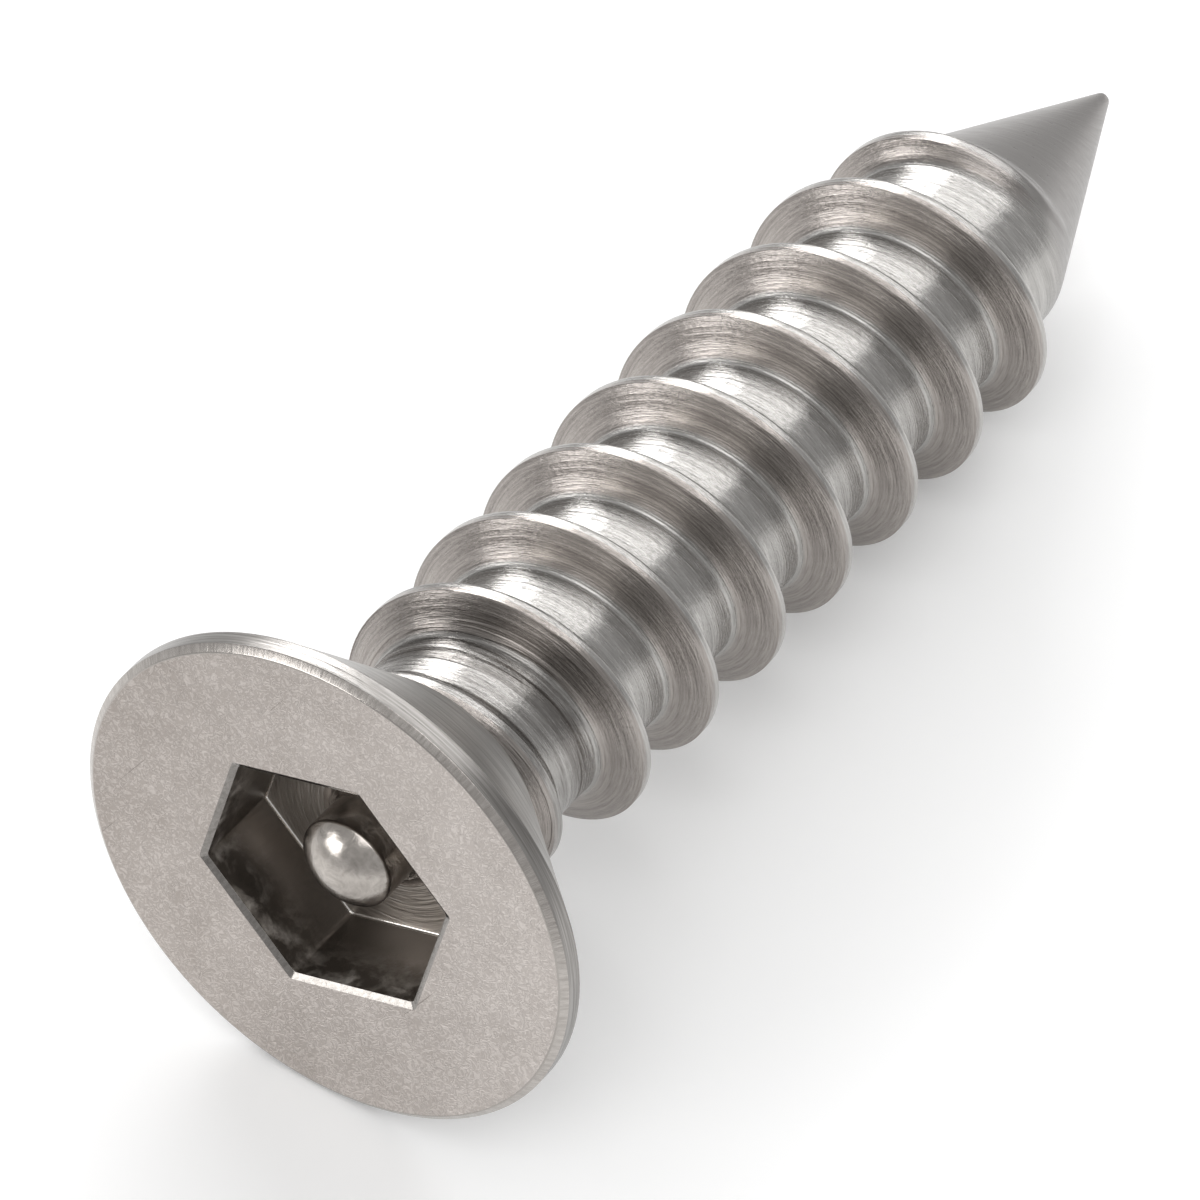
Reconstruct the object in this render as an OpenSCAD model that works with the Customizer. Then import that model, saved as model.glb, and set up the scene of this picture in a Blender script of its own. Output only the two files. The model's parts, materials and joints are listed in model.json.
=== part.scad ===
// Tamper-resistant countersunk socket screw, self-tapping, forged and rolled in one piece.
// Sizes along the shank are depths below the head's flat face.
// The screw is made upright, head up and tip down, and then laid on its side.

/* [Head] */
// Diameter of the head across its narrow straight land
head_d = 11.2; // [10:0.1:12.5]
// Diameter of the flat face inside the rim bevel
face_d = 10.9; // [9.5:0.1:11.1]
// Depth of the bevel round the face
rim_bevel_h = 0.12; // [0.05:0.01:0.3]
// Height of the straight land under the bevel
land_h = 0.37; // [0.2:0.01:0.8]
// Included angle of the countersunk cone
cone_angle = 90; // [80:1:100]

/* [Socket] */
// Width of the hexagon socket across its flats
socket_af = 5.0; // [4:0.1:5.5]
// Depth of the socket's flat floor
socket_depth = 2.05; // [1.6:0.05:2.4]
// Width of the bevel round the socket's mouth, measured across a flat
mouth_bevel = 0.13; // [0.05:0.01:0.3]
// Depth of that bevel
mouth_bevel_h = 0.08; // [0.04:0.01:0.3]
// Bevel left by the punch along the foot of the walls
floor_bevel = 0.08; // [0.02:0.01:0.2]
// Turn of the hexagon about the axis, from where the thread starts
socket_turn = 19.6; // [0:0.1:59.9]

/* [Centre pin] */
// Diameter of the pin that stands in the socket
pin_d = 2.04; // [1.6:0.02:2.6]
// Depth of the pin's rim below the face
pin_rim_depth = 0.76; // [0.4:0.02:1.1]
// Height of the round dome on the pin's end
pin_dome_h = 0.48; // [0.2:0.02:0.6]
// Radius of the fillet at the pin's root
pin_fillet_r = 0.4; // [0.1:0.05:0.6]

/* [Shank and point] */
// Overall length, from the face to the tip
screw_len = 28.2; // [24:0.1:36]
// Diameter of the shank at the bottom of the thread
root_d = 4.6; // [4.2:0.05:4.9]
// Included angle of the point
point_angle = 45; // [40:1:60]
// Radius of the rounded tip
tip_r = 0.18; // [0.1:0.02:0.4]
// Radius of the shoulder between shank and point
shoulder_r = 1.6; // [0.5:0.1:3]

/* [Thread] */
// Diameter over the thread's crests
thread_d = 6.3; // [5.8:0.05:6.8]
// Distance from one crest to the next
pitch = 2.4; // [1.8:0.05:2.8]
// Width of the flat on the crest
crest_w = 0.24; // [0.08:0.01:0.3]
// Slope of both flanks, from square across the axis
flank_angle = 22; // [15:1:32]
// Width of the hollow where a flank meets the shank
flank_fillet = 0.16; // [0.05:0.01:0.25]
// Depth of the first crest that is at full height
first_full_crest = 6.7; // [6:0.1:8]
// Turns over which the thread rises out of the head
rise_turns = 1.1; // [0.8:0.1:1.4]
// Distance from the last full crest to the tip
full_crest_to_tip = 7.8; // [7:0.1:9]
// Turns over which the thread sinks into the point
fade_turns = 1.17; // [0.9:0.01:1.4]
// Flat facets in one turn of the thread
facets = 48; // [24:4:72]

/* [Lying] */
// How far the screw has rolled about its own axis
roll = 328.9; // [0:0.1:359.9]

/* [Hidden] */
$fn = 96;

head_r = head_d / 2;
root_r = root_d / 2;
thread_r = thread_d / 2;
land_bottom = rim_bevel_h + land_h;
cone_bottom = land_bottom + (head_r - root_r) / tan(cone_angle / 2);
// how deep the plain ends sit inside the threaded skin, and how far they reach into it
buried = 0.02;
stub = 0.5;
arc_steps = 5;

// the point: a cone whose sharp end would lie a little past the rounded tip
half_point = point_angle / 2;
tip_centre = screw_len - tip_r;
sharp_end = tip_centre + tip_r / sin(half_point);
point_top = sharp_end - root_r / tan(half_point);
shoulder_top = point_top - shoulder_r * tan(half_point / 2);
// how steeply the bare shank runs in under the skin of the point
dive_slope = 2 * tan(half_point);

// the thread: one rib wound on the shank, followed from the head to the tip
ridge_h = thread_r - root_r;
flank_w = ridge_h * tan(flank_angle);
// the hollow at a flank's foot: shares of the ridge height at its upper end and half-way round it
hollow_top = 0.12;
hollow_mid = 0.04;
// share of its height that the thread has inside the head, and how the two run-outs bend
start_height = 0.4;
rise_power = 2.2;
fade_power = 2.6;
// turns that the thread goes on for under the skin of the point, and turns buried in the head
dive_turns = 0.2;
head_turns = 1.03;
thread_top = cone_bottom - head_turns * pitch;
last_full_crest = screw_len - full_crest_to_tip;
turns = (last_full_crest - thread_top) / pitch + fade_turns + dive_turns;
steps = floor(turns * facets);

// share of the full thread height that a crest has at its depth
function rise(depth) =
    let (t = (first_full_crest - depth) / pitch / rise_turns)
    t <= 0 ? 1 : 1 - (1 - start_height) * pow(min(t, 1), rise_power);
function fade(depth) =
    let (t = (depth - last_full_crest) / pitch / fade_turns)
    t <= 0 ? 1 : 1 - pow(t, fade_power);
function crest_r(depth) = max(tip_r, root_r + ridge_h * min(rise(depth), fade(depth)));

// radius of the bare shank: past the shoulder it runs in under the skin of the point
function shank_r(depth) =
    depth <= shoulder_top ? root_r
    : max(tip_r, root_r - (depth - shoulder_top) * dive_slope);

// one pitch of the rib's outline, as [share of the ridge height, distance below the crest]
rib_outline = [
    [1, crest_w / 2],
    [hollow_top, crest_w / 2 + (1 - hollow_top) * flank_w],
    [0, crest_w / 2 + flank_w + flank_fillet / 2],
    [0, pitch - crest_w / 2 - flank_w - flank_fillet / 2],
    [hollow_mid, pitch - crest_w / 2 - flank_w],
    [hollow_top, pitch - crest_w / 2 - (1 - hollow_top) * flank_w],
    [1, pitch - crest_w / 2]
];
rib_points = len(rib_outline);

// the shank's wall follows its depth, and the ridge stands on it as high as its own crest
function rib_r(share, depth, crest) = shank_r(depth) + share * (crest_r(crest) - shank_r(depth));

function around(r, turn, depth) = [r * cos(-360 * turn), r * sin(-360 * turn), -depth];

function thread_point(i, j) =
    let (turn = i / facets,
         crest = thread_top + turn * pitch,
         drop = rib_outline[j][1],
         own_crest = drop < pitch / 2 ? crest : crest + pitch)
    around(rib_r(rib_outline[j][0], crest + drop, own_crest), turn, crest + drop);

// the skin: a column of points for each step round the axis, then one more turn of its first line
skin = [for (i = [0 : steps], j = [0 : rib_points - 1]) thread_point(i, j)];
seam = [for (i = [steps + 1 : steps + facets]) thread_point(i, 0)];
hubs = [for (turn = [0.5, turns + 0.5]) [0, 0, -thread_top - turn * pitch]];
first_hub = len(skin) + len(seam);
last_hub = first_hub + 1;
function at(i, j) =
    i > steps ? len(skin) + i - steps - 1
    : j < rib_points ? i * rib_points + j
    : at(i + facets, 0);

// the two open ends: a turn of the first line, closed by one column
function end_loop(first) = concat(
    [for (i = [first : first + facets]) at(i, 0)],
    [for (j = [rib_points - 1 : -1 : 1]) at(first, j)]);
first_loop = end_loop(0);
last_loop = end_loop(steps);
loop_len = facets + rib_points;

// points of an arc in the section's plane, turned down from straight out by each angle
function arc(centre, r, first, last) = [for (k = [0 : arc_steps])
    let (a = first + (last - first) * k / arc_steps)
    centre + [r * cos(a), -r * sin(a)]];

module head_blank() {
    rotate_extrude()
        polygon([
            [0, 0],
            [face_d / 2, 0],
            [head_r, -rim_bevel_h],
            [head_r, -land_bottom],
            [root_r - buried, -cone_bottom - buried / tan(cone_angle / 2)],
            [root_r - buried, -cone_bottom - stub],
            [0, -cone_bottom - stub]
        ]);
}

module thread() {
    polyhedron(
        points = concat(skin, seam, hubs),
        faces = concat(
            [for (i = [0 : steps - 1], j = [0 : rib_points - 1])
                [at(i, j), at(i, j + 1), at(i + 1, j + 1)]],
            [for (i = [0 : steps - 1], j = [0 : rib_points - 1])
                [at(i, j), at(i + 1, j + 1), at(i + 1, j)]],
            [for (k = [0 : loop_len - 1])
                [first_loop[k], first_loop[(k + 1) % loop_len], first_hub]],
            [for (k = [0 : loop_len - 1])
                [last_loop[(k + 1) % loop_len], last_loop[k], last_hub]]));
}

// the plain point, with the round shoulder under the shank and the rounded tip
module point() {
    plain_r = root_r - buried;
    shoulder_x = plain_r - shoulder_r;
    shoulder_z = (shoulder_x * cos(half_point) + shoulder_r) / sin(half_point) - sharp_end;
    rotate_extrude()
        polygon(concat(
            [[0, shoulder_z + stub], [plain_r, shoulder_z + stub]],
            arc([shoulder_x, shoulder_z], shoulder_r, 0, half_point),
            arc([0, -tip_centre], tip_r, half_point, 90)));
}

// a six-sided prism or taper between two depths, sized across its flats
module hexagon(low, low_af, high, high_af) {
    translate([0, 0, -low])
        cylinder(h = low - high, d1 = low_af / cos(30), d2 = high_af / cos(30), $fn = 6);
}

module socket() {
    past = 0.5;
    foot = socket_depth - floor_bevel;
    mouth_slope = mouth_bevel / mouth_bevel_h;
    rotate([0, 0, socket_turn]) {
        hexagon(socket_depth, socket_af - 2 * floor_bevel, foot, socket_af);
        hexagon(foot, socket_af, -past, socket_af);
        hexagon(mouth_bevel_h, socket_af, -past, socket_af + 2 * mouth_slope * (mouth_bevel_h + past));
    }
}

// the centre pin: a straight stem on a round fillet, under a round dome
module centre_pin() {
    pin_r = pin_d / 2;
    rooted = 0.3;
    // the fillet runs a little under the floor, so that the two meet along a clean line
    sunk = 0.01;
    fillet_z = pin_fillet_r - socket_depth - sunk;
    dome_r = (pin_r * pin_r + pin_dome_h * pin_dome_h) / (2 * pin_dome_h);
    rotate_extrude() {
        translate([0, -socket_depth - rooted])
            square([pin_r, socket_depth + rooted - pin_rim_depth]);
        intersection() {
            translate([0, -pin_rim_depth - pin_dome_h / 2])
                square([pin_r, 2 * pin_dome_h]);
            translate([0, pin_dome_h - pin_rim_depth - dome_r])
                circle(dome_r);
        }
        difference() {
            translate([0, -socket_depth - rooted])
                square([pin_r + pin_fillet_r, fillet_z + socket_depth + rooted]);
            translate([pin_r + pin_fillet_r, fillet_z])
                circle(pin_fillet_r);
        }
    }
}

module upright_screw() {
    difference() {
        union() {
            head_blank();
            thread();
            point();
        }
        socket();
    }
    centre_pin();
}

// the screw lies on the land's lower edge and on one crest near the point:
// these are the crests that face down, and the slope at which each would touch
down_crests = [for (k = [0 : ceil(turns)])
    let (depth = thread_top + pitch * (k + (roll - 180) / 360))
    if (depth > first_full_crest && depth < last_full_crest + fade_turns * pitch) depth];
lean = min([for (depth = down_crests)
    atan((head_r - crest_r(depth)) / (depth + crest_w / 2 - land_bottom))]);
face_height = land_bottom * sin(lean) + head_r * cos(lean);
lying_min = -face_d / 2 * sin(lean);
lying_max = tip_centre * cos(lean) + tip_r;

module screw() {
    color("#b5afa9")
        translate([-(lying_min + lying_max) / 2, 0, face_height])
            rotate([0, lean - 90, 0])
                rotate([0, 0, roll])
                    upright_screw();
}

screw();
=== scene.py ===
import json
import math

import bpy
from mathutils import Matrix, Vector


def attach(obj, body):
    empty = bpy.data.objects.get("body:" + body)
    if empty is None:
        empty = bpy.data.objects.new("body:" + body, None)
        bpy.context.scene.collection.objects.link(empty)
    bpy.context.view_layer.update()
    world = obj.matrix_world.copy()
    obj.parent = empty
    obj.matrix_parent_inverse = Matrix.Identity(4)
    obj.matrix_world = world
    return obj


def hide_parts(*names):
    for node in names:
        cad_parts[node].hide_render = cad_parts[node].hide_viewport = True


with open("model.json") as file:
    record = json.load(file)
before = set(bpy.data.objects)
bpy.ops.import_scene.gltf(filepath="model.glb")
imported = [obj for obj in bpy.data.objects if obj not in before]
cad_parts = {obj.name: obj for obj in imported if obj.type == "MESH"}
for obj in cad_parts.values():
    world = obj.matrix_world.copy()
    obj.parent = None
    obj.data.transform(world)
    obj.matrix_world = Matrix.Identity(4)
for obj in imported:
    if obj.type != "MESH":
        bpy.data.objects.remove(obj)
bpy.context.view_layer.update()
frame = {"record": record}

# Camera: a long lens looks down on the head's side of the screw, which points away to the right.
# The picture is 1200 by 1200 pixels, and the focal length is worked out in those pixels.
picture_px = 1200
focal_px = 13054.5
looked_at = Vector((-0.004062, 0.000091, 0.004515))
camera_azimuth = math.radians(-145.94)
camera_elevation = math.radians(50.75)
camera_distance = 0.25684
towards_camera = Vector((
    math.cos(camera_elevation) * math.cos(camera_azimuth),
    math.cos(camera_elevation) * math.sin(camera_azimuth),
    math.sin(camera_elevation),
))
lens = bpy.data.cameras.new("camera")
lens.sensor_width = 36
lens.lens = lens.sensor_width * focal_px / picture_px
lens.clip_start = 0.01
lens.clip_end = 10
camera = bpy.data.objects.new("camera", lens)
camera.location = looked_at + towards_camera * camera_distance
camera.rotation_euler = (-towards_camera).to_track_quat("-Z", "Y").to_euler()
bpy.context.collection.objects.link(camera)
bpy.context.scene.camera = camera
bpy.context.scene.view_settings.view_transform = "Standard"


# Head: forged with the shank from one stainless blank, with a hexagon socket punched round a pin.
# Its face is tumbled dull, the die wipes its land, and the cone under it is left as forged.
head_r = 5.6
face_r = 5.45
face_edge_r = 0.06
rim_bevel_h = 0.12
land_bottom = 0.49
land_edge_r = 0.03
root_r = 2.3
cone_bottom = land_bottom + head_r - root_r
inside_shank = 0.02
neck_stub = 0.4
strip_w = 0.05

socket_r = 2.5
socket_depth = 2.05
socket_turn = math.radians(19.6)
socket_foot_r = 0.05
socket_corner_r = 0.12
mouth_bevel_w = 0.13
mouth_bevel_h = 0.08
bevel_foot_r = 0.01
mouth_edge_r = 0.012

pin_r = 1.02
pin_rim_depth = 0.76
pin_dome_h = 0.48
pin_edge_r = 0.14
pin_fillet_r = 0.4

# The screw's own frame is in millimetres: Z points out of the socket's mouth, and the origin is the
# middle of the face. The record's mounts say where its axis lies, and the screw has rolled about it.
mm = 0.001
mounts = {mount["name"]: mount for mount in frame["record"]["mounts"]}
pin_mount_depth = 1.2
out_of_mouth = Vector(mounts["socket_pin"]["axis"]).normalized()
face_middle = Vector(mounts["socket_pin"]["pos_m"]) + out_of_mouth * pin_mount_depth * mm
roll = math.radians(328.9)
upwards = Vector((out_of_mouth.z, 0, -out_of_mouth.x))
turned = Matrix((upwards, Vector((0, 1, 0)), out_of_mouth)).transposed().to_4x4()
place = Matrix.Translation(face_middle) @ turned @ Matrix.Rotation(roll, 4, "Z") @ Matrix.Scale(mm, 4)


def rounded(corners, steps=4):
    """A section's corners (r, z, corner radius), with each corner that has a radius made an arc."""
    points = []
    for i, (r, z, size) in enumerate(corners):
        here = Vector((r, z))
        if not size:
            points.append(here)
            continue
        before = (Vector(corners[i - 1][:2]) - here).normalized()
        after = (Vector(corners[i + 1][:2]) - here).normalized()
        half = before.angle(after) / 2
        centre = here + (before + after).normalized() * size / math.sin(half)
        first = here + before * size / math.tan(half) - centre
        last = here + after * size / math.tan(half) - centre
        for k in range(steps + 1):
            points.append(centre + first.lerp(last, k / steps).normalized() * size)
    return points


def arc(centre, size, first, last, steps):
    """Points of an arc in the section, by angles in degrees from straight out."""
    turns = [math.radians(first + (last - first) * k / steps) for k in range(steps + 1)]
    return [Vector((centre[0] + size * math.cos(a), centre[1] + size * math.sin(a))) for a in turns]


# the mesh's angles round the axis, with a few close together at each corner of the hexagon
hexagon_sides = 6
half_side = math.pi / hexagon_sides
corner_middle = (socket_r - socket_corner_r) / math.cos(half_side)
corner_half = math.atan2(
    socket_corner_r * math.sin(half_side), corner_middle + socket_corner_r * math.cos(half_side))
corner_steps = 3
side_steps = 32
angles = []
for corner in range(hexagon_sides):
    middle = corner * 2 * half_side
    angles += [middle + corner_half * k / corner_steps for k in range(-corner_steps, corner_steps)]
    side = 2 * (half_side - corner_half)
    angles += [middle + corner_half + side * k / side_steps for k in range(side_steps)]


def hexagon_r(apothem, angle):
    """Distance from the axis to a hexagon with slightly round corners."""
    off_corner = (angle + half_side) % (2 * half_side) - half_side
    if abs(off_corner) > corner_half:
        return apothem / math.cos(half_side - abs(off_corner))
    centre = (apothem - socket_corner_r) / math.cos(half_side)
    sideways = centre * math.sin(off_corner)
    return centre * math.cos(off_corner) + math.sqrt(socket_corner_r ** 2 - sideways ** 2)


# the section from the top of the pin down to the socket's floor, up its wall and over the head,
# where narrow flat strips beside the rounded edges keep the shading of the flats even
dome_r = (pin_r ** 2 + pin_dome_h ** 2) / (2 * pin_dome_h)
dome_middle = pin_dome_h - pin_rim_depth - dome_r
dome_edge = math.acos((pin_r - pin_edge_r) / (dome_r - pin_edge_r))
edge_middle = (pin_r - pin_edge_r, dome_middle + (dome_r - pin_edge_r) * math.sin(dome_edge))
dome = arc((0, dome_middle), dome_r, 90, math.degrees(dome_edge), steps=14)
pin_edge = arc(edge_middle, pin_edge_r, math.degrees(dome_edge), 0, steps=4)
pin_foot = arc(
    (pin_r + pin_fillet_r, pin_fillet_r - socket_depth), pin_fillet_r, 180, 270, steps=8)
socket_section = rounded([
    (socket_r - 2 * strip_w, -socket_depth, 0),
    (socket_r, -socket_depth, socket_foot_r),
    (socket_r, -mouth_bevel_h, bevel_foot_r),
    (socket_r + mouth_bevel_w, 0, mouth_edge_r),
    (socket_r + mouth_bevel_w + strip_w, 0, 0),
])
outside_section = rounded([
    (face_r - 2 * strip_w, 0, 0),
    (face_r, 0, face_edge_r),
    (head_r, -rim_bevel_h, land_edge_r),
    (head_r, -land_bottom, land_edge_r),
    (root_r - inside_shank, -cone_bottom - inside_shank, 0),
    (root_r - inside_shank, -cone_bottom - neck_stub, 0),
])
rings = [("round", point) for point in dome[1:] + pin_edge[1:] + pin_foot]
rings += [("hexagon", point) for point in socket_section]
rings += [("round", point) for point in outside_section]

verts = [(0, 0, dome[0].y)]
for shape, point in rings:
    for angle in angles:
        r = point.x if shape == "round" else hexagon_r(point.x, angle)
        verts.append((
            r * math.cos(angle + socket_turn), r * math.sin(angle + socket_turn), point.y))
verts.append((0, 0, rings[-1][1].y))
around = len(angles)
faces = [(0, 1 + k, 1 + (k + 1) % around) for k in range(around)]
for i in range(len(rings) - 1):
    inner, outer = 1 + i * around, 1 + (i + 1) * around
    for k in range(around):
        following = (k + 1) % around
        faces.append((inner + k, outer + k, outer + following, inner + following))
last_ring = 1 + (len(rings) - 1) * around
faces += [(last_ring + (k + 1) % around, last_ring + k, len(verts) - 1) for k in range(around)]

# what lies between two rings of the head decides its finish
head_finishes = [
    "pin", "floor", "foot", "wall", "mouth bevel", "face", "face edge", "rim bevel", "land", "cone"]
level_gap = 0.004
flat_face = 0.0002
face_edge_h = 0.02


def finish_between(inner, outer):
    """The finish of the strip between two rings, each (shape, point)."""
    z = (inner[1].y + outer[1].y) / 2
    if outer[0] == "hexagon":
        if z < -socket_depth + level_gap:
            return "floor"
        if z < -socket_depth + socket_foot_r:
            return "foot"
        return "wall" if z < -mouth_bevel_h else "mouth bevel" if z < -level_gap else "face"
    if outer[1].x <= pin_r + pin_fillet_r + level_gap:
        return "pin"
    if z > -face_edge_h:
        return "face" if z > -flat_face else "face edge"
    return "rim bevel" if z > -rim_bevel_h else "land" if z > -land_bottom else "cone"


head_mesh = bpy.data.meshes.new("screw_head")
head_mesh.from_pydata(verts, [], faces)
finishes = [head_finishes.index("pin")] * around
for inner, outer in zip(rings, rings[1:]):
    finishes += [head_finishes.index(finish_between(inner, outer))] * around
finishes += [head_finishes.index("cone")] * around
head_mesh.polygons.foreach_set("material_index", finishes)
head_mesh.transform(place)
head_mesh.shade_smooth()
head = bpy.data.objects.new("screw_head", head_mesh)
bpy.context.collection.objects.link(head)


def linear(hex_colour):
    """An sRGB hex colour as the opaque linear colour that Blender works in."""
    parts = [int(hex_colour[i:i + 2], 16) / 255 for i in (1, 3, 5)]
    return [c / 12.92 if c <= 0.04045 else ((c + 0.055) / 1.055) ** 2.4 for c in parts] + [1.0]


def fill(node, inputs):
    """Fills a node's inputs, named or in order, with values or with other nodes' outputs."""
    for key, value in inputs.items() if isinstance(inputs, dict) else enumerate(inputs):
        if isinstance(value, bpy.types.NodeSocket):
            node.id_data.links.new(value, node.inputs[key])
        else:
            node.inputs[key].default_value = value


def add(tree, kind, inputs=(), **settings):
    """Adds a node with its settings and inputs, and gives its outputs."""
    node = tree.nodes.new(kind)
    for name, value in settings.items():
        setattr(node, name, value)
    fill(node, inputs)
    return node.outputs


# the numbers of a Mix node's sockets for its share and its two colours, and of the colour it gives
mix_share, mix_from, mix_to, mix_result = 0, 6, 7, 2


def steel(name, roughness=0.5):
    """A stainless steel finish: its material, its node tree and its shader."""
    material = bpy.data.materials.new(name)
    material.use_nodes = True
    shader = material.node_tree.nodes["Principled BSDF"]
    fill(shader, {"Metallic": 1.0, "Roughness": roughness})
    return material, material.node_tree, shader


def mark_steel(tree, shader, tone, dark, light, relief, depth):
    """Colours a finish from dark to light by its tone, and raises its marks to a depth in metres."""
    fill(shader, {
        "Base Color": add(tree, "ShaderNodeMix", {
            mix_share: tone, mix_from: linear(dark), mix_to: linear(light),
        }, data_type="RGBA")[mix_result],
        "Normal": add(tree, "ShaderNodeBump", {
            "Height": relief, "Strength": 1.0, "Distance": depth})[0],
    })


def place_in_screw(tree):
    """The shaded point in the screw's own frame, in millimetres."""
    return add(tree, "ShaderNodeMapping", {
        "Vector": add(tree, "ShaderNodeTexCoord")["Object"],
        "Location": place.translation,
        "Rotation": place.to_euler(),
        "Scale": (mm, mm, mm),
    }, vector_type="TEXTURE")[0]


def place_round_axis(tree, local):
    """The shaded point's distance from the screw's axis, and its angle round it."""
    x, y, z = add(tree, "ShaderNodeSeparateXYZ", [local])
    square_on = add(tree, "ShaderNodeCombineXYZ", [x, y, 0.0])[0]
    radius = add(tree, "ShaderNodeVectorMath", [square_on], operation="LENGTH")["Value"]
    return radius, add(tree, "ShaderNodeMath", [y, x], operation="ARCTAN2")[0]


# Pin: its round end is polished by the punch, so it mirrors the room. Scuffs about 0.3 mm long
# lie all over it, and faint rubs 0.06 mm wide run round it.
scuffs_a_mm = 3.5
rubs_a_mm = 16.0
rubs_a_radian = 1.5
rub_relief = 0.35
scuff_depth = 0.007 * mm
material, tree, shader = steel("pin_polished_steel", roughness=0.2)
local = place_in_screw(tree)
radius, angle = place_round_axis(tree, local)
scuffs = add(tree, "ShaderNodeTexNoise", {
    "Vector": local, "Scale": scuffs_a_mm, "Detail": 5.0, "Roughness": 0.55, "Distortion": 1.0})[0]
rubs = add(tree, "ShaderNodeTexNoise", {
    "Vector": add(tree, "ShaderNodeCombineXYZ", [
        add(tree, "ShaderNodeMath", [radius, rubs_a_mm], operation="MULTIPLY")[0],
        add(tree, "ShaderNodeMath", [angle, rubs_a_radian], operation="MULTIPLY")[0], 0.0])[0],
    "Scale": 1.0, "Detail": 3.0, "Roughness": 0.6})[0]
relief = add(tree, "ShaderNodeMath", [rubs, rub_relief, scuffs], operation="MULTIPLY_ADD")[0]
tone = add(tree, "ShaderNodeMapRange", {"Value": relief, "From Min": 0.45, "From Max": 0.9})[0]
mark_steel(tree, shader, tone, "#a49e98", "#c6c0ba", relief, scuff_depth)
head_mesh.materials.append(material)

# Socket floor: milled flat, which leaves rings of tool marks about 0.06 mm apart round the pin,
# bright and dark by turns.
marks_a_mm = 15.0
marks_a_radian = 1.6
mark_depth = 0.02 * mm
material, tree, shader = steel("socket_floor_milled_steel", roughness=0.3)
radius, angle = place_round_axis(tree, place_in_screw(tree))
marks = add(tree, "ShaderNodeTexNoise", {
    "Vector": add(tree, "ShaderNodeCombineXYZ", [
        add(tree, "ShaderNodeMath", [radius, marks_a_mm], operation="MULTIPLY")[0],
        add(tree, "ShaderNodeMath", [angle, marks_a_radian], operation="MULTIPLY")[0], 0.0])[0],
    "Scale": 1.0, "Detail": 3.0, "Roughness": 0.6, "Distortion": 0.3})[0]
mark_steel(tree, shader, marks, "#76716b", "#d3cdc6", marks, mark_depth)
head_mesh.materials.append(material)

# Foot of the socket: the punch's worn edge leaves a fine round corner, burnished bright, with
# nicks under 0.1 mm long.
nicks_a_mm = 12.0
nick_depth = 0.004 * mm
material, tree, shader = steel("socket_foot_burnished_steel", roughness=0.16)
nicks = add(tree, "ShaderNodeTexNoise", {
    "Vector": place_in_screw(tree), "Scale": nicks_a_mm, "Detail": 2.0})[0]
fill(shader, {
    "Base Color": linear("#dedad5"),
    "Normal": add(tree, "ShaderNodeBump", {
        "Height": nicks, "Strength": 1.0, "Distance": nick_depth})[0],
})
head_mesh.materials.append(material)

# Socket walls: wiped by the punch, dark with a film of soot, and rubbed bright and matt in smears
# 0.5 to 0.7 mm long near the mouth. Fine drawn lines run up them.
smears_a_mm = (1.5, 1.5, 2.0)
drawn_lines_a_mm = (20.0, 20.0, 2.0)
drawn_line_depth = 0.004 * mm
rub_ends, rub_full = -1.3, -0.3
material, tree, shader = steel("socket_wall_punched_steel")
local = place_in_screw(tree)
smears = add(tree, "ShaderNodeTexNoise", {
    "Vector": add(tree, "ShaderNodeVectorMath", [local, smears_a_mm], operation="MULTIPLY")[0],
    "Scale": 1.0, "Detail": 6.0, "Roughness": 0.7, "Distortion": 0.3})[0]
near_mouth = add(tree, "ShaderNodeMapRange", {
    "Value": add(tree, "ShaderNodeSeparateXYZ", [local])[2],
    "From Min": rub_ends, "From Max": rub_full})[0]
rubbed_and_painted_light = add(tree, "ShaderNodeMapRange", {"Value": smears, "From Min": 0.45, "From Max": 0.7})[0]
rubbed_and_painted_light = add(tree, "ShaderNodeMath", [rubbed_and_painted_light, near_mouth], operation="MULTIPLY")[0]
drawn_lines = add(tree, "ShaderNodeTexNoise", {
    "Vector": add(tree, "ShaderNodeVectorMath", [local, drawn_lines_a_mm], operation="MULTIPLY")[0],
    "Scale": 1.0, "Detail": 2.0})[0]
mark_steel(tree, shader, rubbed_and_painted_light, "#86807b", "#e2ddd7", drawn_lines, drawn_line_depth)
fill(shader, {"Roughness": add(tree, "ShaderNodeMapRange", {
    "Value": rubbed_and_painted_light, "To Min": 0.3, "To Max": 0.6})[0]})
head_mesh.materials.append(material)

# Mouth bevel: pressed by the punch's shoulder, so it is satin, crossed by fine hatching 0.1 mm
# apart and by small nicks.
hatches_a_mm = (9.0, 14.0, 3.0)
hatch_depth = 0.004 * mm
material, tree, shader = steel("mouth_bevel_pressed_steel", roughness=0.18)
local = place_in_screw(tree)
hatching = add(tree, "ShaderNodeTexNoise", {
    "Vector": add(tree, "ShaderNodeVectorMath", [local, hatches_a_mm], operation="MULTIPLY")[0],
    "Scale": 1.0, "Detail": 3.0, "Roughness": 0.7, "Distortion": 0.6})[0]
mark_steel(tree, shader, hatching, "#5d5955", "#b3afab", hatching, hatch_depth)
head_mesh.materials.append(material)

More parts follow.
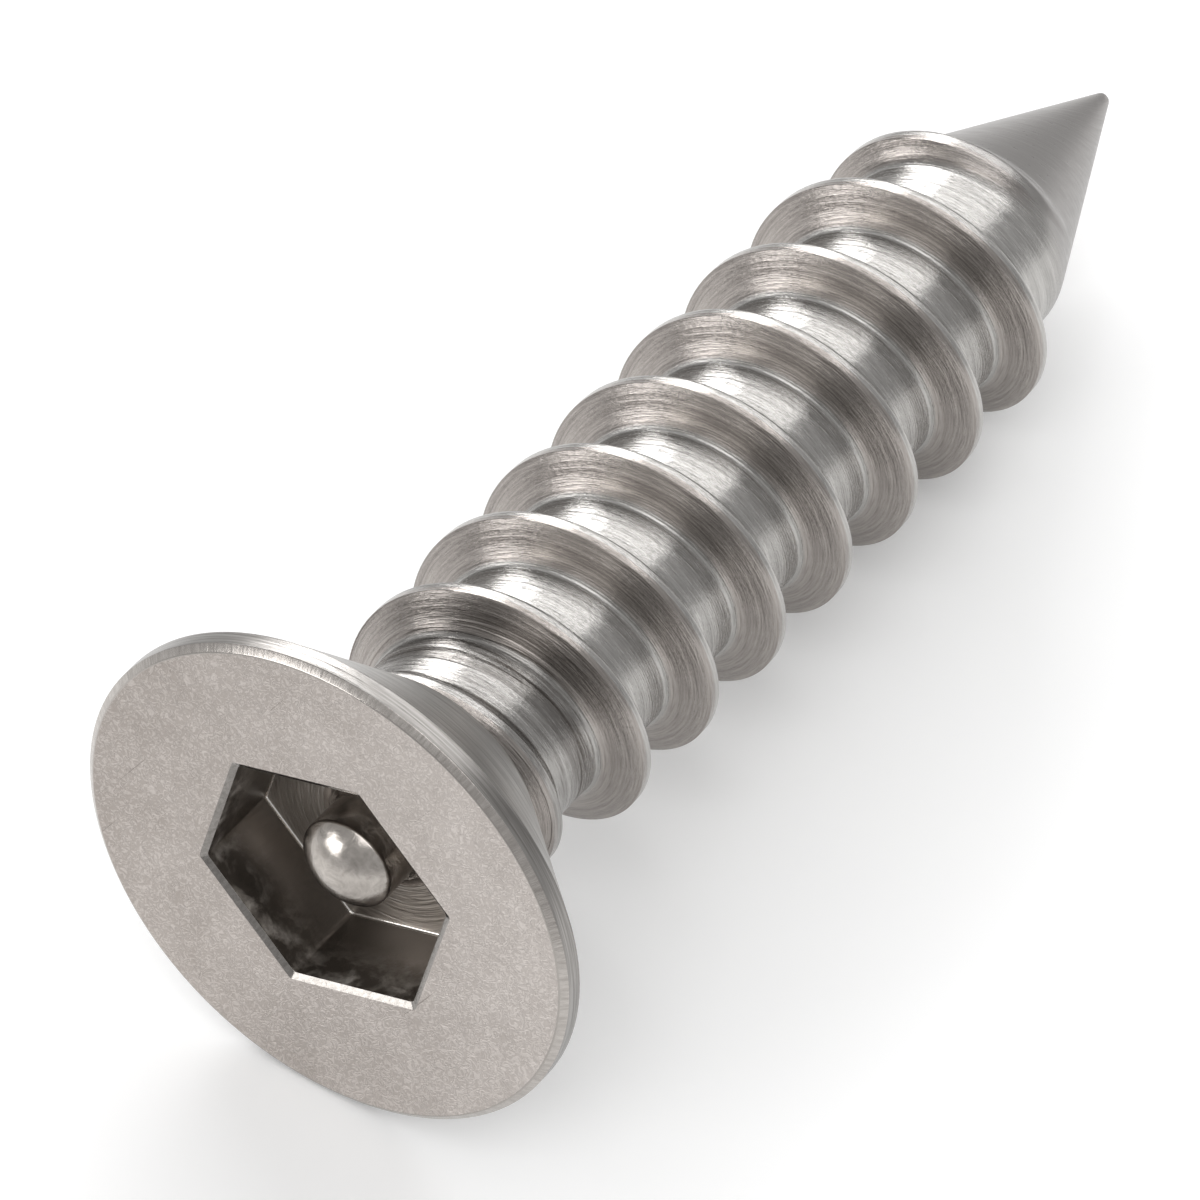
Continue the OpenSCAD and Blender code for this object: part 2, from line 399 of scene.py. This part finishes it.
# Face: tumbled after forging, so it is matt and evenly covered in short curled rub marks, with a
# few long hairline scratches from handling. The curls lie 0.2 mm apart, which is as fine as the
# render can show.
curls_a_mm = 5.6
curl_fold = 0.09
blotches_a_mm = 0.7
hairlines_a_mm = (0.25, 12.0, 1.0)
hairline_way = (0.0, 0.0, math.radians(38))
curl_tone = 0.42
lit_side_tone = 0.05
hairline_relief = -1.5
curl_depth = 0.006 * mm
material, tree, shader = steel("face_tumbled_steel", roughness=0.42)
local = place_in_screw(tree)
curls = add(tree, "ShaderNodeTexNoise", {
    "Vector": local, "Scale": curls_a_mm, "Detail": 2.0, "Roughness": 0.5, "Distortion": 0.8})[0]
curls = add(tree, "ShaderNodeMath", [curls, curl_fold], operation="PINGPONG")[0]
curls = add(tree, "ShaderNodeMapRange", {"Value": curls, "From Min": 0.03, "From Max": 0.085})[0]
hairlines = add(tree, "ShaderNodeTexNoise", {
    "Vector": add(tree, "ShaderNodeMapping", {
        "Vector": local, "Rotation": hairline_way, "Scale": hairlines_a_mm})[0],
    "Scale": 1.0, "Detail": 1.0})[0]
hairlines = add(tree, "ShaderNodeMapRange", {
    "Value": hairlines, "From Min": 0.755, "From Max": 0.8, "To Max": 0.8})[0]
blotches = add(tree, "ShaderNodeTexNoise", {
    "Vector": local, "Scale": blotches_a_mm, "Detail": 5.0, "Roughness": 0.6})[0]
tone = add(tree, "ShaderNodeMapRange", {
    "Value": blotches, "From Min": 0.3, "From Max": 0.7, "To Min": 0.2, "To Max": 0.45})[0]
tone = add(tree, "ShaderNodeMath", [curls, curl_tone, tone], operation="MULTIPLY_ADD")[0]
# painted light: the side of the face towards -Y is painted a little brighter
lit_side_way = (-math.sin(roll), -math.cos(roll), 0)
rubbed_and_painted_light = add(tree, "ShaderNodeVectorMath", [local, lit_side_way], operation="DOT_PRODUCT")["Value"]
tone = add(tree, "ShaderNodeMath", [
    rubbed_and_painted_light, lit_side_tone, tone], operation="MULTIPLY_ADD")[0]
tone = add(tree, "ShaderNodeMath", [tone, hairlines], operation="SUBTRACT", use_clamp=True)[0]
relief = add(tree, "ShaderNodeMath", [
    hairlines, hairline_relief, curls], operation="MULTIPLY_ADD")[0]
mark_steel(tree, shader, tone, "#a19993", "#d6cfca", relief, curl_depth)
head_mesh.materials.append(material)

# Edge of the face: rounded and rubbed smooth by the tumbling, so it flashes as a thin line, broken
# by nicks 0.2 mm long.
nicks_a_mm = 6.0
nick_depth = 0.006 * mm
material, tree, shader = steel("face_edge_rubbed_steel", roughness=0.15)
nicks = add(tree, "ShaderNodeTexNoise", {
    "Vector": place_in_screw(tree), "Scale": nicks_a_mm, "Detail": 3.0})[0]
fill(shader, {
    "Base Color": linear("#aca7a2"),
    "Normal": add(tree, "ShaderNodeBump", {
        "Height": nicks, "Strength": 1.0, "Distance": nick_depth})[0],
})
head_mesh.materials.append(material)

# Rim bevel: left by the forging die, dark satin, with fine hatching square to the edge, a hatch
# every 0.08 mm round the rim.
hatches_a_radian = 70.0
hatches_a_mm = 3.0
hatch_depth = 0.008 * mm
material, tree, shader = steel("rim_bevel_forged_steel", roughness=0.27)
radius, angle = place_round_axis(tree, place_in_screw(tree))
hatching = add(tree, "ShaderNodeTexNoise", {
    "Vector": add(tree, "ShaderNodeCombineXYZ", [
        add(tree, "ShaderNodeMath", [angle, hatches_a_radian], operation="MULTIPLY")[0],
        add(tree, "ShaderNodeMath", [radius, hatches_a_mm], operation="MULTIPLY")[0], 0.0])[0],
    "Scale": 1.0, "Detail": 3.0, "Roughness": 0.6})[0]
mark_steel(tree, shader, hatching, "#8d8782", "#d5d0cb", hatching, hatch_depth)
head_mesh.materials.append(material)

# Land: the die wipes it as the head leaves, so it is a smooth satin band, with fine lines 0.04 mm
# apart along the rim.
lines_a_mm = (0.5, 0.5, 24.0)
line_depth = 0.008 * mm
material, tree, shader = steel("land_wiped_steel", roughness=0.3)
local = place_in_screw(tree)
lines = add(tree, "ShaderNodeTexNoise", {
    "Vector": add(tree, "ShaderNodeVectorMath", [local, lines_a_mm], operation="MULTIPLY")[0],
    "Scale": 1.0, "Detail": 3.0, "Roughness": 0.6})[0]
tone = add(tree, "ShaderNodeMapRange", {"Value": lines, "From Min": 0.35, "From Max": 0.65})[0]
mark_steel(tree, shader, tone, "#7d7a77", "#a3a09d", lines, line_depth)
head_mesh.materials.append(material)

# Cone: as forged and lightly tumbled, an even soft grey with faint rings 0.08 mm apart.
lines_a_mm = (0.6, 0.6, 12.0)
line_depth = 0.01 * mm
material, tree, shader = steel("cone_forged_steel", roughness=0.36)
local = place_in_screw(tree)
lines = add(tree, "ShaderNodeTexNoise", {
    "Vector": add(tree, "ShaderNodeVectorMath", [local, lines_a_mm], operation="MULTIPLY")[0],
    "Scale": 1.0, "Detail": 5.0, "Roughness": 0.65})[0]
tone = add(tree, "ShaderNodeMapRange", {"Value": lines, "From Min": 0.3, "From Max": 0.7})[0]
mark_steel(tree, shader, tone, "#85827f", "#c2c0bd", lines, line_depth)
head_mesh.materials.append(material)
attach(head, "root")
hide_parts("screw")


# Thread, shank and point: rolled between flat dies, which squeeze a sharp rib out of the shank.
# One skin of steel runs from inside the head to the tip, so it is one sheet wound round the axis.
# Depths are in millimetres below the face.
pitch = 2.4
crest_r = 3.15
screw_len = 28.2
turns_in_head = 1.03
thread_top = cone_bottom - turns_in_head * pitch
# above the first full crest the rib is lower, and below the last it sinks, by powers of the turns
first_full_crest = 6.7
rise_turns = 1.1
rise_power = 2.2
rise_drop = 0.6
last_full_crest = screw_len - 7.8
fade_turns = 1.17
fade_power = 2.6
run_out_turns = 1.08
run_out_power = 3.4
# the point is a cone whose round tip meets it at tip_top, and which would be sharp at sharp_end
half_point = math.radians(22.5)
shoulder_blend = 0.16
tip_r = 0.18
tip_centre = screw_len - tip_r
tip_top = tip_centre + tip_r * math.sin(half_point)
sharp_end = tip_centre + tip_r / math.sin(half_point)
# the sheet starts inside the head, and it has as many steps a turn as its lines need to look round
skin_top = 2.3
first_turn = (skin_top - thread_top) / pitch - 1
all_turns = (screw_len - thread_top) / pitch - first_turn
steps_a_turn = 96
weld_gap = 0.0005

# the rib's section from one crest to the next: (mm from the crest, share of the rib's height)
rib_section = [
    # the flat crest and its round corner
    (0, 1), (0.10, 1), (0.135, 0.994), (0.167, 0.976), (0.193, 0.948), (0.211, 0.912),
    # the flank that faces the tip, and its round foot
    (0.49, 0.098), (0.51, 0.06), (0.54, 0.028), (0.59, 0.008), (0.65, 0),
    # the root, and the burr that the die pushes up at its end
    (1.825, 0), (1.855, 0.004), (1.88, 0.016), (1.897, 0.034), (1.909, 0.058), (1.917, 0.077),
    (1.923, 0.081), (1.929, 0.07), (1.935, 0.053),
    # the flank that faces the head, hollow at its foot, and the next crest
    (1.942, 0.063), (1.952, 0.095), (1.984, 0.14), (2.017, 0.20), (2.047, 0.27),
    (2.268, 0.965), (2.276, 0.988), (2.286, 1), (2.4, 1),
]
# how far across the section, in mm, the sheet's lines have got: they lie closer where it bends more
rib_lines = 84
line_places = [
    (0, 0), (3, 0.09), (10, 0.22), (13, 0.48), (18, 0.66), (47, 1.79), (60, 1.91), (67, 1.95),
    (73, 2.05), (76, 2.26), (81, 2.30), (84, 2.4),
]

winding = bpy.data.node_groups.new("rolled_thread", "GeometryNodeTree")
winding.interface.new_socket("Geometry", in_out="OUTPUT", socket_type="NodeSocketGeometry")
thread_sizes = {
    "Pitch": pitch, "Root radius": root_r, "Crest radius": crest_r, "Thread top": thread_top,
    "First full crest": first_full_crest, "Rise end": first_full_crest - rise_turns * pitch,
    "Last full crest": last_full_crest, "Fade end": last_full_crest + fade_turns * pitch,
    "Run-out share": fade_turns / run_out_turns, "Screw length": screw_len, "Skin top": skin_top,
    "First turn": first_turn, "Turns": all_turns, "Sharp end": sharp_end,
    "Point slope": math.tan(half_point), "Shoulder blend": shoulder_blend, "Tip top": tip_top,
    "Tip centre": tip_centre, "Tip radius": tip_r,
}
identifiers = {}
for name in thread_sizes:
    socket = winding.interface.new_socket(name, in_out="INPUT", socket_type="NodeSocketFloat")
    identifiers[name] = socket.identifier
size = add(winding, "NodeGroupInput")


def draw_curve(node, points):
    """Makes a curve node run straight from point to point."""
    curve = node.mapping.curves[0]
    for x, y in points[1:-1]:
        curve.points.new(x, y)
    for made, wanted in zip(curve.points, points):
        made.location = wanted
        made.handle_type = "VECTOR"
    node.mapping.update()


# the sheet is 1 by 1: X becomes turns along the rib, and Y the way across it, as a share of a pitch
sheet = add(winding, "GeometryNodeMeshGrid", {
    "Size X": 1.0, "Size Y": 1.0,
    "Vertices X": round(all_turns * steps_a_turn) + 1, "Vertices Y": rib_lines + 1,
})[0]
on_sheet = add(winding, "ShaderNodeSeparateXYZ", [add(winding, "GeometryNodeInputPosition")[0]])
along = add(winding, "ShaderNodeMath", [on_sheet[0], 0.5], operation="ADD")[0]
across = add(winding, "ShaderNodeMath", [on_sheet[1], 0.5], operation="ADD")[0]
turn = add(winding, "ShaderNodeMath", [
    along, size["Turns"], size["First turn"]], operation="MULTIPLY_ADD")[0]
drop = add(winding, "ShaderNodeFloatCurve", {"Value": across})[0]
draw_curve(drop.node, [(line / rib_lines, place_mm / pitch) for line, place_mm in line_places])
share = add(winding, "ShaderNodeFloatCurve", {"Value": drop})[0]
draw_curve(share.node, [(place_mm / pitch, height) for place_mm, height in rib_section])

# how deep a point lies, and how deep the middle of the crest that it belongs to
turns_down = add(winding, "ShaderNodeMath", [turn, drop], operation="ADD")[0]
depth = add(winding, "ShaderNodeMath", [
    turns_down, size["Pitch"], size["Thread top"]], operation="MULTIPLY_ADD")[0]
depth = add(winding, "ShaderNodeMath", [depth, size["Skin top"]], operation="MAXIMUM")[0]
depth = add(winding, "ShaderNodeMath", [depth, size["Screw length"]], operation="MINIMUM")[0]
past_middle = add(winding, "ShaderNodeMath", [drop, 0.5], operation="GREATER_THAN")[0]
crest_turn = add(winding, "ShaderNodeMath", [turn, past_middle], operation="ADD")[0]
own_crest = add(winding, "ShaderNodeMath", [
    crest_turn, size["Pitch"], size["Thread top"]], operation="MULTIPLY_ADD")[0]

# the thread rises out of the head, and it sinks into the point faster at the very end
rise = add(winding, "ShaderNodeMapRange", {
    "Value": own_crest, "From Min": size["First full crest"], "From Max": size["Rise end"]})[0]
rise = add(winding, "ShaderNodeMath", [rise, rise_power], operation="POWER")[0]
rise = add(winding, "ShaderNodeMath", [rise, -rise_drop, 1.0], operation="MULTIPLY_ADD")[0]
gone = add(winding, "ShaderNodeMapRange", {
    "Value": own_crest, "From Min": size["Last full crest"], "From Max": size["Fade end"],
}, clamp=False)[0]
gone = add(winding, "ShaderNodeMath", [gone, 0.0], operation="MAXIMUM")[0]
fade = add(winding, "ShaderNodeMath", [gone, fade_power], operation="POWER")[0]
run_out = add(winding, "ShaderNodeMath", [gone, size["Run-out share"]], operation="MULTIPLY")[0]
run_out = add(winding, "ShaderNodeMath", [run_out, run_out_power], operation="POWER")[0]
sunk = add(winding, "ShaderNodeMath", [fade, run_out], operation="MAXIMUM")[0]
standing = add(winding, "ShaderNodeMath", [1.0, sunk], operation="SUBTRACT")[0]
standing = add(winding, "ShaderNodeMath", [rise, standing], operation="MINIMUM")[0]
full_height = add(winding, "ShaderNodeMath", [
    size["Crest radius"], size["Root radius"]], operation="SUBTRACT")[0]
crest_here = add(winding, "ShaderNodeMath", [
    full_height, standing, size["Root radius"]], operation="MULTIPLY_ADD")[0]

# the plain shank: straight, then bent over a round shoulder into the cone, then the round tip
to_sharp_end = add(winding, "ShaderNodeMath", [size["Sharp end"], depth], operation="SUBTRACT")[0]
cone = add(winding, "ShaderNodeMath", [
    to_sharp_end, size["Point slope"]], operation="MULTIPLY")[0]
shank = add(winding, "ShaderNodeMath", [
    size["Root radius"], cone, size["Shoulder blend"]], operation="SMOOTH_MIN")[0]
past_centre = add(winding, "ShaderNodeMath", [depth, size["Tip centre"]], operation="SUBTRACT")[0]
past_square = add(winding, "ShaderNodeMath", [past_centre, past_centre], operation="MULTIPLY")[0]
tip_square = add(winding, "ShaderNodeMath", [
    size["Tip radius"], size["Tip radius"]], operation="MULTIPLY")[0]
tip = add(winding, "ShaderNodeMath", [tip_square, past_square], operation="SUBTRACT")[0]
tip = add(winding, "ShaderNodeMath", [0.0, tip], operation="MAXIMUM")[0]
tip = add(winding, "ShaderNodeMath", [tip], operation="SQRT")[0]
plain = add(winding, "GeometryNodeSwitch", {
    "Switch": add(winding, "ShaderNodeMath", [
        depth, size["Tip top"]], operation="GREATER_THAN")[0],
    "False": shank, "True": tip,
}, input_type="FLOAT")[0]

# the skin closes to the axis inside the head, where nothing shows
closing_a_mm = 6.0
in_head = add(winding, "ShaderNodeMath", [depth, size["Skin top"]], operation="SUBTRACT")[0]
opened = add(winding, "ShaderNodeMath", [in_head, closing_a_mm], operation="MULTIPLY")[0]
opened = add(winding, "ShaderNodeMath", [opened, 1.0], operation="MINIMUM")[0]
plain = add(winding, "ShaderNodeMath", [plain, opened], operation="MULTIPLY")[0]

# the rib stands on the shank, and the sheet is wound clockwise as it goes down
ridge = add(winding, "ShaderNodeMath", [crest_here, plain], operation="SUBTRACT")[0]
ridge = add(winding, "ShaderNodeMath", [0.0, ridge], operation="MAXIMUM")[0]
ridge = add(winding, "ShaderNodeMath", [share, ridge], operation="MULTIPLY")[0]
radius = add(winding, "ShaderNodeMath", [ridge, opened, plain], operation="MULTIPLY_ADD")[0]
angle = add(winding, "ShaderNodeMath", [turn, -math.tau], operation="MULTIPLY")[0]
cosine = add(winding, "ShaderNodeMath", [angle], operation="COSINE")[0]
sine = add(winding, "ShaderNodeMath", [angle], operation="SINE")[0]
position = add(winding, "ShaderNodeCombineXYZ", [
    add(winding, "ShaderNodeMath", [radius, cosine], operation="MULTIPLY")[0],
    add(winding, "ShaderNodeMath", [radius, sine], operation="MULTIPLY")[0],
    add(winding, "ShaderNodeMath", [depth, -1.0], operation="MULTIPLY")[0],
])[0]
# the sheet's own coordinates: turns along the rib, and millimetres from one crest to the next
across_mm = add(winding, "ShaderNodeMath", [drop, size["Pitch"]], operation="MULTIPLY")[0]
marked = add(winding, "GeometryNodeStoreNamedAttribute", {
    "Geometry": sheet, "Name": "rib",
    "Value": add(winding, "ShaderNodeCombineXYZ", [turn, across_mm, 0.0])[0],
}, data_type="FLOAT2", domain="CORNER")[0]
wound = add(winding, "GeometryNodeSetPosition", {"Geometry": marked, "Position": position})[0]
merged = add(winding, "GeometryNodeMergeByDistance", {"Geometry": wound, "Distance": weld_gap})[0]
smooth = add(winding, "GeometryNodeSetShadeSmooth", {"Geometry": merged})[0]
real = add(winding, "GeometryNodeRealizeInstances", [smooth])[0]

# Rolled steel: the dies slide along the steel, so fine lines 0.1 mm apart and dashes of 0.04 mm run
# round the shank and the flanks. The root is burnished bright, and the flanks that face the head
# are browner, and also painted darker as painted shade.
lines_a_mm = (0.35, 0.35, 11.0)
dashes_a_mm = (2.2, 2.2, 26.0)
ridges_a_mm = (0.15, 0.15, 2.4)
pebbles_a_mm = 9.0
line_depth = 0.012 * mm
# how much each kind of mark adds to the relief, to the tone and to the roughness
dash_relief, pebble_relief, ridge_relief = 0.5, 0.25, 1.6
point_relief, under_crest_relief = -0.5, 0.9
dash_tone, ridge_tone = 0.6, -0.5
flank_roughness, point_roughness = -0.05, 0.1
# where each place starts and is full, in mm along the axis, across the rib's section or above the root
neck_starts, neck_full = -6.4, -5.4
point_starts, point_full = -22.4, -23.2
flank_starts, flank_full = 1.92, 1.97
under_crest_starts, under_crest_full = 2.08, 2.18
crest_starts, crest_full = 2.25, 2.3
clear_of_root = 0.08
material, tree, shader = steel("thread_rolled_steel")
local = place_in_screw(tree)
radius = place_round_axis(tree, local)[0]
x, y, z = add(tree, "ShaderNodeSeparateXYZ", [local])
across = add(tree, "ShaderNodeSeparateXYZ", [
    add(tree, "ShaderNodeUVMap", uv_map="rib")[0]])[1]
down_the_section = add(tree, "ShaderNodeMath", [across, radius], operation="ADD")[0]
round_the_rib = add(tree, "ShaderNodeCombineXYZ", [x, y, down_the_section])[0]
lines = add(tree, "ShaderNodeTexNoise", {
    "Vector": add(tree, "ShaderNodeVectorMath", [
        round_the_rib, lines_a_mm], operation="MULTIPLY")[0],
    "Scale": 1.0, "Detail": 5.0, "Roughness": 0.7})[0]
dashes = add(tree, "ShaderNodeTexNoise", {
    "Vector": add(tree, "ShaderNodeVectorMath", [
        round_the_rib, dashes_a_mm], operation="MULTIPLY")[0],
    "Scale": 1.0, "Detail": 3.0, "Roughness": 0.6})[0]
pebbles = add(tree, "ShaderNodeTexNoise", {
    "Vector": local, "Scale": pebbles_a_mm, "Detail": 2.0})[0]

# masks by place: the turned neck under the head, the smoother point, the flanks that face the head,
# and the strip of those flanks just under the crest
on_neck = add(tree, "ShaderNodeMapRange", {
    "Value": z, "From Min": neck_starts, "From Max": neck_full})[0]
on_point = add(tree, "ShaderNodeMapRange", {
    "Value": z, "From Min": point_starts, "From Max": point_full})[0]
past_root = add(tree, "ShaderNodeMapRange", {
    "Value": across, "From Min": flank_starts, "From Max": flank_full})[0]
above_root = add(tree, "ShaderNodeMapRange", {
    "Value": radius, "From Min": root_r, "From Max": root_r + clear_of_root})[0]
flank = add(tree, "ShaderNodeMath", [past_root, above_root], operation="MULTIPLY")[0]
up_flank = add(tree, "ShaderNodeMapRange", {
    "Value": across, "From Min": under_crest_starts, "From Max": under_crest_full})[0]
below_crest = add(tree, "ShaderNodeMapRange", {
    "Value": across, "From Min": crest_full, "From Max": crest_starts})[0]
under_crest = add(tree, "ShaderNodeMath", [up_flank, below_crest], operation="MULTIPLY")[0]
under_crest = add(tree, "ShaderNodeMath", [under_crest, flank], operation="MULTIPLY")[0]

# the neck was turned before the thread was rolled, which left a few ridges there
ridges = add(tree, "ShaderNodeTexNoise", {
    "Vector": add(tree, "ShaderNodeVectorMath", [
        round_the_rib, ridges_a_mm], operation="MULTIPLY")[0],
    "Scale": 1.0, "Detail": 2.0, "Roughness": 0.5})[0]
ridges = add(tree, "ShaderNodeMapRange", {"Value": ridges, "From Min": 0.52, "From Max": 0.6})[0]
ridges = add(tree, "ShaderNodeMath", [ridges, on_neck], operation="MULTIPLY")[0]
relief = add(tree, "ShaderNodeMath", [dashes, dash_relief, lines], operation="MULTIPLY_ADD")[0]
relief = add(tree, "ShaderNodeMath", [pebbles, pebble_relief, relief], operation="MULTIPLY_ADD")[0]
relief = add(tree, "ShaderNodeMath", [ridges, ridge_relief, relief], operation="MULTIPLY_ADD")[0]
strength = add(tree, "ShaderNodeMath", [on_point, point_relief, 1.0], operation="MULTIPLY_ADD")[0]
strength = add(tree, "ShaderNodeMath", [
    under_crest, under_crest_relief, strength], operation="MULTIPLY_ADD")[0]
relief = add(tree, "ShaderNodeMath", [relief, strength], operation="MULTIPLY")[0]

tone = add(tree, "ShaderNodeMath", [dashes, dash_tone, lines], operation="MULTIPLY_ADD")[0]
tone = add(tree, "ShaderNodeMapRange", {"Value": tone, "From Min": 0.6, "From Max": 1.0})[0]
on_shank = add(tree, "ShaderNodeMix", {
    mix_share: tone, mix_from: linear("#9d9b98"), mix_to: linear("#c1bfbc"),
}, data_type="RGBA")[mix_result]
# the neck under the head is coloured darker, and darker still in its ridges
in_ridges = add(tree, "ShaderNodeMath", [ridges, ridge_tone, tone], operation="MULTIPLY_ADD")[0]
darker_neck = add(tree, "ShaderNodeMix", {
    mix_share: in_ridges, mix_from: linear("#817e7b"), mix_to: linear("#b6b4b1"),
}, data_type="RGBA")[mix_result]
on_root = add(tree, "ShaderNodeMix", {
    mix_share: on_neck, mix_from: on_shank, mix_to: darker_neck,
}, data_type="RGBA")[mix_result]
# painted shade: the flanks that face the head are coloured darker than the root, as well as browner
on_flank = add(tree, "ShaderNodeMix", {
    mix_share: tone, mix_from: linear("#87817d"), mix_to: linear("#b2aca7"),
}, data_type="RGBA")[mix_result]
shade = add(tree, "ShaderNodeMix", {
    mix_share: flank, mix_from: on_root, mix_to: on_flank,
}, data_type="RGBA")[mix_result]
roughness = add(tree, "ShaderNodeMapRange", {
    "Value": dashes, "From Min": 0.3, "From Max": 0.7, "To Min": 0.17, "To Max": 0.3})[0]
roughness = add(tree, "ShaderNodeMath", [
    flank, flank_roughness, roughness], operation="MULTIPLY_ADD")[0]
roughness = add(tree, "ShaderNodeMath", [
    on_point, point_roughness, roughness], operation="MULTIPLY_ADD")[0]
# painted shade: the point is coloured darker than the shank and the thread
fill(shader, {
    "Base Color": add(tree, "ShaderNodeMix", {
        mix_share: on_point, mix_from: shade, mix_to: linear("#969391"),
    }, data_type="RGBA")[mix_result],
    "Roughness": roughness,
    "Normal": add(tree, "ShaderNodeBump", {
        "Height": relief, "Strength": 1.0, "Distance": line_depth})[0],
})

dressed = add(winding, "GeometryNodeSetMaterial", {"Geometry": real, "Material": material})[0]
add(winding, "NodeGroupOutput", [dressed])
blank = bpy.data.objects.new("thread_blank", bpy.data.meshes.new("thread_blank"))
bpy.context.collection.objects.link(blank)
modifier = blank.modifiers.new("thread", "NODES")
modifier.node_group = winding
for name, value in thread_sizes.items():
    modifier[identifiers[name]] = float(value)
evaluated = blank.evaluated_get(bpy.context.evaluated_depsgraph_get())
thread_mesh = bpy.data.meshes.new_from_object(evaluated)
thread_mesh.name = "screw_thread"
thread_mesh.transform(place)
thread = bpy.data.objects.new("screw_thread", thread_mesh)
bpy.context.collection.objects.link(thread)
bpy.data.objects.remove(blank)
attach(thread, "root")
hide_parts("screw")


# Floor: a sweep of matt white paper under the screw, which falls into shade away from it.
# What the camera and the steel see of it close by has a faint glow, so that it shows as white.
floor_half = 2
shade_starts, shade_full = 0.018, 0.05
glow_close_by = 0.1
floor_mesh = bpy.data.meshes.new("floor")
floor_mesh.from_pydata([
    (-floor_half, -floor_half, 0), (floor_half, -floor_half, 0),
    (floor_half, floor_half, 0), (-floor_half, floor_half, 0),
], [], [(0, 1, 2, 3)])
floor = bpy.data.objects.new("floor", floor_mesh)
bpy.context.collection.objects.link(floor)
paper = bpy.data.materials.new("floor_white_paper")
paper.use_nodes = True
tree = paper.node_tree
from_middle = add(tree, "ShaderNodeVectorMath", [
    add(tree, "ShaderNodeTexCoord")["Object"]], operation="LENGTH")["Value"]
far = add(tree, "ShaderNodeMapRange", {
    "Value": from_middle, "From Min": shade_starts, "From Max": shade_full,
}, interpolation_type="SMOOTHSTEP")[0]
ray = add(tree, "ShaderNodeLightPath")
seen = add(tree, "ShaderNodeMath", [
    ray["Is Camera Ray"], ray["Is Glossy Ray"]], operation="ADD")[0]
seen = add(tree, "ShaderNodeMath", [
    seen, ray["Is Transmission Ray"]], operation="ADD", use_clamp=True)[0]
near = add(tree, "ShaderNodeMath", [1.0, far], operation="SUBTRACT")[0]
glow = add(tree, "ShaderNodeMath", [seen, near], operation="MULTIPLY")[0]
fill(tree.nodes["Principled BSDF"], {
    "Base Color": add(tree, "ShaderNodeMix", {
        mix_share: far, mix_from: linear("#fafafa"), mix_to: linear("#c4c4c4"),
    }, data_type="RGBA")[mix_result],
    "Roughness": 0.9,
    "Specular IOR Level": 0.0,
    "Emission Color": linear("#ffffff"),
    "Emission Strength": add(tree, "ShaderNodeMath", [
        glow, glow_close_by], operation="MULTIPLY")[0],
})
floor_mesh.materials.append(paper)


# Light: a grey room with soft boxes behind the screw, over its point, to its left and over the
# camera. A lamp's face looks as bright as a white wall times its brightness, which takes 4 watts
# a square metre.
world = bpy.data.worlds.new("room")
bpy.context.scene.world = world
world.use_nodes = True
fill(world.node_tree.nodes["Background"], {"Color": linear("#bfbfbf"), "Strength": 1.0})
lamp_distance = 0.6
white_wall_watts = 4


def soft_box(name, azimuth, elevation, wide, tall, brightness):
    """A rectangular lamp that faces the screw, placed and sized in degrees as the screw sees it."""
    lamp = bpy.data.lights.new(name, "AREA")
    lamp.shape = "RECTANGLE"
    lamp.size = 2 * lamp_distance * math.tan(math.radians(wide / 2))
    lamp.size_y = 2 * lamp_distance * math.tan(math.radians(tall / 2))
    lamp.energy = white_wall_watts * lamp.size * lamp.size_y * brightness
    light = bpy.data.objects.new(name, lamp)
    a, e = math.radians(azimuth), math.radians(elevation)
    away = Vector((math.cos(e) * math.cos(a), math.cos(e) * math.sin(a), math.sin(e)))
    light.location = looked_at + away * lamp_distance
    light.rotation_euler = (-away).to_track_quat("-Z", "Y").to_euler()
    bpy.context.collection.objects.link(light)


soft_box("window_behind", azimuth=48, elevation=29, wide=34, tall=18, brightness=6.0)
soft_box("window_over_the_point", azimuth=0, elevation=44, wide=56, tall=20, brightness=2.0)
soft_box("screen_on_the_left", azimuth=147, elevation=14, wide=28, tall=22, brightness=2.8)
soft_box("fill_over_the_camera", azimuth=-146, elevation=62, wide=40, tall=36, brightness=1.4)
